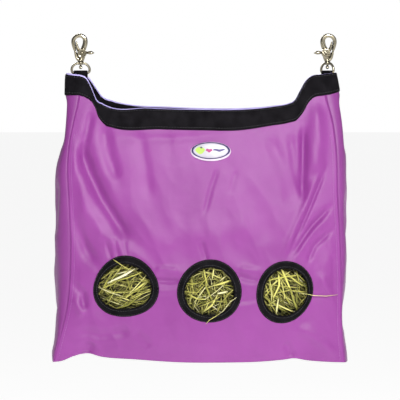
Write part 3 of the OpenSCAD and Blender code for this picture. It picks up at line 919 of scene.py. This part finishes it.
white_rubber = rubber("white rubber", (0.62, 0.52, 0.64))
base_disc = badge_disc("badge_moulding", BADGE_HALF, 0, [
    (0.02, -1.5), (1, -1.5), (1.0, 1.0), (0.985, 1.8), (0.95, 2.1), (0.9, 2.0), (0.6, 1.9), (0.02, 1.9)],
    white_rubber)
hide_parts("badge_base")
face = badge_disc("badge_face_dome", FACE_HALF, FACE_LIFT, FACE_PROFILE,
                  rubber("pale face", (0.50, 0.47, 0.54), 0.35))
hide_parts("badge_face")
line_ring = badge_disc("badge_line", (34.0, 14.7), FACE_LIFT, [
    (0.905, 2.6), (0.91, 3.5), (0.95, 3.45), (1.0, 2.95), (1.01, 2.4), (0.97, 2.0), (0.905, 2.6)],
    rubber("dark blue print", (0.030, 0.020, 0.11)))


def printed(name, outline, tone):
    """A thin printed shape on the face, from an outline about the badge's middle."""
    outline = np.array(outline, float)
    x, z = outline[:, 0] + BADGE_AT[0], outline[:, 1] + BADGE_AT[1] + FACE_LIFT
    far = np.clip(np.hypot(outline[:, 0] / FACE_HALF[0], outline[:, 1] / FACE_HALF[1]), 0, 1)
    share, height = np.array(FACE_PROFILE[:2:-1]).T
    stand = np.interp(far, share, height)
    layers = [np.stack([x, badge_y(x, z, stand + lift), z], -1) for lift in (-0.5, 0.28)]
    n = len(x)
    faces = [tuple(range(n)), tuple(range(2 * n - 1, n - 1, -1))]
    faces += [(k, (k + 1) % n, (k + 1) % n + n, k + n) for k in range(n)]
    shape = new_piece(name, np.concatenate(layers), faces, smooth=False)
    shape.data.materials.append(rubber(name + " print", tone))
    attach(shape, "bag")


leaf = [(-28 + 18 * t, 1.5 + 5.4 * math.sin(math.pi * t) ** 0.8) for t in np.linspace(0, 1, 14)]
leaf += [(-10 - 18 * t, 1.5 - 7.6 * math.sin(math.pi * t) ** 0.8) for t in np.linspace(0, 1, 14)[1:-1]]
dot = [(-17 + 2.0 * math.cos(a), 5.4 + 1.7 * math.sin(a)) for a in np.arange(0, 6.28, 0.4)]
printed("badge_leaf", leaf, (0.42, 0.62, 0.09))
printed("badge_dot", dot, (0.035, 0.015, 0.09))


def wave_band(start, end, height, thick):
    """The outline of a wavy stroke that is thickest in its middle."""
    def edge(t, sign):
        swell = sign * thick * math.sin(math.pi * t) ** 0.5
        return start + (end - start) * t, height + 0.8 * math.sin(9 * t) + swell

    along = np.linspace(0, 1, 24)
    return [edge(t, 1) for t in along] + [edge(t, -1) for t in along[::-1][1:-1]]


printed("badge_wave_pink", wave_band(-9, 3, 0.4, 3.0), (0.36, 0.005, 0.15))
printed("badge_wave_blue", wave_band(3.5, 26, 0.9, 2.1), (0.04, 0.02, 0.16))
printed("badge_wave_grey", wave_band(-10, 22, -6.0, 0.45), (0.55, 0.52, 0.50))

# ---------------------------------------------------------------- hanger tabs
# A 25 mm black webbing is passed round the bar of each eye and both ends are sewn in between
# the layers of the shoulder.

BAR_Z = 518.0
SIDES = {"left": {"x": -217.0, "lever": 1, "yaw": 8.0}, "right": {"x": 226.0, "lever": -1, "yaw": -50.0}}
TAB_HALF = 12.5


def placed(side, points, turned=False):
    """From a snap's own place to the bag's: the right snap is the same snap turned about."""
    points = np.asarray(points, float)
    at = SIDES[side]
    swing = math.radians(at["yaw"]) if turned else 0.0
    x, y = points[..., 0] * at["lever"], points[..., 1] * at["lever"]
    turned_x = x * math.cos(swing) - y * math.sin(swing)
    turned_y = x * math.sin(swing) + y * math.cos(swing)
    return np.stack([turned_x + at["x"], turned_y + MID_Y, points[..., 2] + BAR_Z], -1)


tab_webbing = ribbed_webbing("tab webbing")
for side in SIDES:
    inner_r, outer_r, leg = 2.9, 4.5, 34
    mid_r = (inner_r + outer_r) / 2
    path = np.array([(-mid_r, -leg + 3 * k) for k in range(11)]
                    + [(-mid_r * math.cos(a), mid_r * math.sin(a)) for a in np.linspace(0, math.pi, 19)]
                    + [(mid_r, -3 * k - 1) for k in range(12)])
    ahead = np.gradient(path, axis=0)
    ahead /= np.linalg.norm(ahead, axis=1, keepdims=True)
    out = np.stack([-ahead[:, 1], ahead[:, 0]], -1)
    pinch = np.interp(path[:, 1], [-20, -4, 4], [0.45, 0.8, 1.0])
    half = (outer_r - inner_r) / 2
    widths = np.array([-1, -0.96, -0.6, -0.2, 0.2, 0.6, 0.96, 1.0]) * TAB_HALF
    edge = np.array([0.3, 0.9, 1, 1, 1, 1, 0.9, 0.3]) * half
    rows = []
    for sign, order in ((1, range(8)), (-1, range(7, -1, -1))):
        for k in order:
            yz = path * np.stack([pinch, 1 + 0 * pinch], -1) + out * sign * edge[k]
            rows.append(np.stack([np.full(len(yz), widths[k]), yz[:, 0], yz[:, 1]], -1))
    loop = grid_mesh(side + "_webbing_tab", placed(side, np.array(rows), True), wrap_rows=True)
    loop.data.materials.append(tab_webbing)
    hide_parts(side + "_hanger_tab")
    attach(loop, "bag")

# ---------------------------------------------------------------- trigger snaps
# Die-cast snaps plated in nickel: a swivel eye, a hook body with its ball-ended post, a gate with
# a flat thumb lever, and a slotted rivet. Painted shade darkens the casting's hollows.


def bar(stations, sides=20):
    """A swept casting: each station is (x, z, half width in its plane, half thickness, y)."""
    stations = [tuple(s) + (0.0,) if len(s) == 4 else tuple(s) for s in stations]
    data = np.array(stations, float)
    t = np.arange(len(data))
    fine = np.linspace(0, len(data) - 1, 7 * len(data))
    data = np.stack([through(np.stack([t, data[:, k]], -1))(fine) for k in range(5)], -1)
    path = data[:, [0, 4, 1]]
    ahead = np.gradient(path, axis=0)
    ahead /= np.linalg.norm(ahead, axis=1, keepdims=True)
    across = np.cross(ahead, [0.0, 1.0, 0.0])
    across /= np.linalg.norm(across, axis=1, keepdims=True)
    deep = np.cross(across, ahead)
    cap = np.array([0.05, 0.45, 0.75, 0.93])
    reach = np.sqrt(1 - cap**2)
    starts = [(path[0] - ahead[0] * data[0, 2] * reach[i], across[0], deep[0],
               data[0, 2] * cap[i], data[0, 3] * cap[i]) for i in range(4)]
    ends = [(path[-1] + ahead[-1] * data[-1, 2] * reach[i], across[-1], deep[-1],
             data[-1, 2] * cap[i], data[-1, 3] * cap[i]) for i in (3, 2, 1, 0)]
    body = [(path[i], across[i], deep[i], data[i, 2], data[i, 3]) for i in range(len(path))]
    turn = np.linspace(0, 2 * math.pi, sides, endpoint=False)[:, None]
    rings = [c + a * w * np.cos(turn) + d * h * np.sin(turn) for c, a, d, w, h in starts + body + ends]
    return np.array(rings)


def turned_z(profile, sides=28):
    """A turned shape about the snap's upright axis, from [radius, height]."""
    turn = np.linspace(0, 2 * math.pi, sides, endpoint=False)
    return np.array([np.stack([r * np.cos(turn), r * np.sin(turn), z + 0 * turn], -1)
                     for r, z in profile])


def disc_y(x, z, profile, sides=32):
    """A turned shape about an axis across the snap, from [radius, y]."""
    turn = np.linspace(0, 2 * math.pi, sides, endpoint=False)
    return np.array([np.stack([x + r * np.cos(turn), y + 0 * turn, z - r * np.sin(turn)], -1)
                     for r, y in profile])


def casting(name, side, shapes, voxel, turned=False, slots=()):
    """Fuses swept shapes into one casting with small fillets where they meet, then cuts its slots."""
    piece = tubes(name, [placed(side, rings, turned) for rings in shapes])
    remesh = piece.modifiers.new("fused", "REMESH")
    remesh.mode = "VOXEL"
    remesh.voxel_size = voxel * METRE
    remesh.use_smooth_shade = True
    smooth = piece.modifiers.new("fillets", "SMOOTH")
    smooth.factor = 0.5
    smooth.iterations = 6
    cutter = None
    if slots:
        cutter = tubes(name + "_slots", [placed(side, rings, turned) for rings in slots])
        cut = piece.modifiers.new("slots", "BOOLEAN")
        cut.operation = "DIFFERENCE"
        cut.solver = "EXACT"
        cut.use_self = True
        cut.object = cutter
    graph = bpy.context.evaluated_depsgraph_get()
    done = bpy.data.meshes.new_from_object(piece.evaluated_get(graph))
    piece.modifiers.clear()
    piece.data = done
    done.name = name
    if cutter:
        bpy.data.objects.remove(cutter)
    done.shade_smooth()
    return piece


def nickel_plate(name):
    """Warm bright nickel: pale where it is rubbed, with painted shade near black in its hollows and creases,
    faintly pitted.
    """
    nickel = Finish(name, 0.26, 1.0)
    # Painted shade: ambient occlusion takes the plating's colour to near black in hollows, creases and
    # between parts.
    crevice_shade_ao = nickel.add("ShaderNodeAmbientOcclusion", samples=8, Distance=0.004)
    shade = nickel.ramp(crevice_shade_ao.outputs["AO"], [(0.35, (0.008, 0.006, 0.004)),
                                               (0.75, (0.10, 0.08, 0.05)), (0.98, (0.38, 0.35, 0.27))])
    tarnish = nickel.ramp(nickel.speckle(150, 4), [(0.35, (0.72, 0.68, 0.58)), (0.7, (1, 1, 1))])
    nickel.colour(nickel.multiply(0.8, shade, tarnish))
    nickel.bumps((nickel.speckle(420, 3), 0.15, 0.0002))
    return nickel.material


nickel = nickel_plate("nickel plate")
PIVOT = (2.5, 35.3)
EYE_LINE = [(0, 0), (11, 0), (15.2, 1.7), (16.2, 6), (14.6, 11), (10.6, 15.2), (5.5, 17.4), (0, 17.8),
            (-5.5, 17.4), (-10.6, 15.2), (-14.6, 11), (-16.2, 6), (-15.2, 1.7), (-11, 0), (0, 0)]

# Half the width of the slot that the gate turns in.
SLOT = 2.0


def slab(outline, half):
    """A flat plate between two upright planes, from its outline in x and z."""
    outline = np.array(outline, float)
    x, z = outline.T
    return np.array([np.stack([x, y + 0 * x, z], -1) for y in (-half, half)])


for side in SIDES:
    eye = casting(side + "_eye_ring", side, [
        bar([(x, z, 2.2, 2.2) for x, z in EYE_LINE]),
        turned_z([(2.45, 14.4), (4.4, 14.4), (4.75, 15.4), (4.75, 18.8), (4.3, 20), (2.45, 20),
                  (2.45, 17), (2.45, 14.4)]),
    ], 0.36, turned=True)
    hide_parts(side + "_swivel_eye")
    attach(eye, side + "_eye")

    rim_ring = [(7.3 + 0.8 * math.cos(a), -4.4 + 0.8 * math.sin(a)) for a in np.linspace(0, 2 * math.pi, 13)]
    hook = casting(side + "_hook_casting", side, [
        bar([(3.4, 41.5, 4.6, 3.4), (6.4, 46.5, 4.6, 3.4), (8.3, 53.5, 4.5, 3.4), (7.9, 60.5, 4.2, 3.4),
             (4.2, 65.2, 3.9, 3.3), (-1.8, 67.0, 3.7, 3.3), (-8.0, 65.2, 3.6, 3.2), (-12.2, 60.4, 3.6, 3.2),
             (-13.2, 54, 3.4, 3.1), (-12.2, 47.5, 3.0, 2.9), (-10.6, 41.8, 2.6, 2.7)]),
        bar([(-9.6, 37.6, 2.2, 2.6), (-8.3, 32, 2.6, 2.8), (-6.4, 26.5, 2.9, 3.0), (-3.2, 22.8, 3.2, 3.2)]),
        disc_y(*PIVOT, [(0.1, -4.4), (7.0, -4.4), (8.1, -4.0), (8.3, -3.2), (8.1, -2.1), (0.1, -2.1)]),
        disc_y(*PIVOT, [(0.1, 2.1), (8.1, 2.1), (8.3, 3.2), (8.1, 4.0), (7.0, 4.4), (0.1, 4.4)]),
        disc_y(*PIVOT, rim_ring),
        bar([(0.6, 23.6, 5.6, 4.3), (1.3, 26.5, 6.0, 4.4), (2.0, 28.5, 6.0, 4.4)]),
        bar([(-5.4, 30.2, 0.9, 1.0, 4.0), (1.0, 34.5, 1.1, 1.2, 4.6), (8.2, 42.0, 1.3, 1.2, 4.0)]),
        bar([(-2.0, 27.6, 0.9, 1.0, 4.0), (5.0, 32.5, 1.1, 1.1, 4.5), (9.6, 38.0, 1.2, 1.1, 3.9)]),
        turned_z([(0.1, 6.9), (1.5, 7.1), (2.7, 8.2), (3.2, 9.8), (2.7, 11.6), (1.7, 12.9), (1.85, 20.2),
                  (4.1, 20.5), (5.2, 21.2), (5.4, 22.4), (5.0, 23.8), (3.9, 24.6), (3.6, 27), (0.1, 27)]),
        bar([(-5.8, 33.4, 2.4, 1.2), (-3.4, 28.4, 2.6, 1.2)]),
    ], 0.36, slots=[
        disc_y(*PIVOT, [(0.05, -SLOT), (5.5, -SLOT), (5.5, SLOT), (0.05, SLOT)]),
        slab([(-6.6, 36), (-2.6, 32.2), (1.5, 29.9), (6.5, 28.4), (12.5, 28.2), (13, 38.6), (8.6, 38.9),
              (5.8, 42.6), (4.9, 47), (5.6, 52), (6.9, 56), (7.2, 60.2), (3.6, 61.2), (-9.2, 58)], SLOT),
    ])
    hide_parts(side + "_hook_body")
    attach(hook, side + "_hook")

    gate = casting(side + "_gate_lever", side, [
        disc_y(*PIVOT, [(0.1, -1.75), (4.4, -1.75), (4.9, -1.3), (4.9, 1.3), (4.4, 1.75), (0.1, 1.75)]),
        bar([(0.5, 37.5, 2.8, 1.6), (-3.8, 41.0, 3.1, 1.6), (-6.0, 45.6, 2.8, 1.6), (-7.2, 50.5, 2.3, 1.6),
             (-7.9, 55.5, 1.3, 1.3)]),
        bar([(3.5, 35.8, 1.9, 1.5), (9.6, 36.2, 2.1, 1.6), (13.0, 36.3, 2.7, 2.5), (16.0, 36.3, 3.3, 3.0),
             (20.0, 36.1, 2.9, 3.0), (23.6, 35.6, 1.0, 1.6)]),
    ], 0.34)
    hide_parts(side + "_gate")
    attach(gate, side + "_gate")

    rivet_rings = []
    for facing in (-1, 1):
        radii = np.array([0.05, 0.6, 1.2, 1.7, 2.2, 2.5, 2.6, 1.6])
        stand = np.array([5.55, 5.55, 5.5, 5.35, 5.1, 4.8, 4.3, 4.2])
        turn = np.linspace(0, 2 * math.pi, 72, endpoint=False)[None, :]
        rx, rz = radii[:, None] * np.cos(turn), radii[:, None] * np.sin(turn)
        slot = np.where((np.abs(rx) < 0.45) & (radii[:, None] < 2.3), 0.55, 0)
        rivet_rings.append(np.stack([PIVOT[0] + rx, facing * (stand[:, None] - slot), PIVOT[1] + rz], -1))
    rivet_path = np.concatenate([rivet_rings[0], rivet_rings[1][::-1]])
    rivet = grid_mesh(side + "_slotted_rivet", placed(side, rivet_path), wrap_columns=True)
    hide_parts(side + "_gate_rivet")
    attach(rivet, side + "_hook")
    for piece in (eye, hook, gate, rivet):
        piece.data.materials.clear()
        piece.data.materials.append(nickel)

spring_look = Finish("spring steel", 0.35, 1.0)
spring_look.colour(spring_look.ramp(spring_look.speckle(300), [(0.3, (0.22, 0.22, 0.23)),
                                                               (0.7, (0.42, 0.42, 0.43))]))
for side in SIDES:
    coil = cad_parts[side + "_gate_spring"]
    coil.data.materials.clear()
    coil.data.materials.append(spring_look.material)

# ---------------------------------------------------------------- stage
# A plain white floor some way under the hanging bag, a large soft light from the upper right
# and an even white surround.

FLOOR_Z = -0.6
floor_mesh = bpy.data.meshes.new("floor")
floor_mesh.from_pydata([(-40, -40, FLOOR_Z), (40, -40, FLOOR_Z), (40, 40, FLOOR_Z), (-40, 40, FLOOR_Z)],
                       [], [(0, 1, 2, 3)])
floor = bpy.data.objects.new("floor", floor_mesh)
bpy.context.scene.collection.objects.link(floor)
paper = Finish("white floor", 0.9, Emission_Color=(1, 1, 1, 1), Emission_Strength=0.72)
paper.colour(paper.ramp(paper.speckle(3), [(0.0, (0.93, 0.93, 0.93)), (1.0, (0.95, 0.95, 0.95))]))
floor_mesh.materials.append(paper.material)
floor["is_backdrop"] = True


def soft_light(name, place, aim, size, power):
    light = bpy.data.lights.new(name, "AREA")
    light.shape = "DISK"
    light.size = size
    light.energy = power
    lamp = bpy.data.objects.new(name, light)
    lamp.location = place
    lamp.rotation_mode = "QUATERNION"
    lamp.rotation_quaternion = (Vector(aim) - Vector(place)).to_track_quat("-Z", "Y")
    bpy.context.scene.collection.objects.link(lamp)


soft_light("key light", (0.46, -2.5, 1.6), (0, 0, 0.28), 0.45, 88)
soft_light("side light", (2.2, -0.4, 0.9), (0.1, 0, 0.3), 0.8, 4)
soft_light("rear light", (-0.8, 2.2, 1.5), (0, 0, 0.3), 1.2, 40)

surround = bpy.data.worlds.new("surround")
surround.use_nodes = True
sky = surround.node_tree.nodes
sky["Background"].inputs["Strength"].default_value = 0.24
around = sky.new("ShaderNodeTexCoord")
part = sky.new("ShaderNodeSeparateXYZ")
tone = sky.new("ShaderNodeValToRGB")
for element, (at, level) in zip(tone.color_ramp.elements, [(0.35, 0.22), (0.85, 1.0)]):
    element.position = at
    element.color = (level, level, level, 1)
seen = sky.new("ShaderNodeBackground")
seen.inputs["Color"].default_value = (1, 1, 1, 1)
seen.inputs["Strength"].default_value = 1.0
choose = sky.new("ShaderNodeMixShader")
ray = sky.new("ShaderNodeLightPath")
join = surround.node_tree.links.new
join(around.outputs["Generated"], part.inputs[0])
upward = sky.new("ShaderNodeMath")
upward.operation = "MULTIPLY_ADD"
upward.inputs[1].default_value = 0.5
upward.inputs[2].default_value = 0.5
join(part.outputs["Z"], upward.inputs[0])
join(upward.outputs[0], tone.inputs["Fac"])
join(tone.outputs["Color"], sky["Background"].inputs["Color"])
join(ray.outputs["Is Camera Ray"], choose.inputs[0])
join(sky["Background"].outputs[0], choose.inputs[1])
join(seen.outputs[0], choose.inputs[2])
join(choose.outputs[0], sky["World Output"].inputs["Surface"])
bpy.context.scene.world = surround
bpy.context.scene.view_settings.view_transform = "Standard"

VIEW_WIDTH = 0.72
VIEW_CENTRE = Vector((-0.0027, 0.0, 0.2895))
CAMERA_RISE = 3.0
CAMERA_AWAY = 4.5
camera_data = bpy.data.cameras.new("camera")
camera_data.sensor_width = 36
camera_data.lens = 36 * CAMERA_AWAY / VIEW_WIDTH
camera_data.clip_end = 200
camera = bpy.data.objects.new("camera", camera_data)
rise = math.radians(CAMERA_RISE)
camera.location = VIEW_CENTRE + Vector((0, -math.cos(rise), math.sin(rise))) * CAMERA_AWAY
camera.rotation_euler = (math.radians(90) - rise, 0, 0)
bpy.context.scene.collection.objects.link(camera)
bpy.context.scene.camera = camera

low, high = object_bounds()
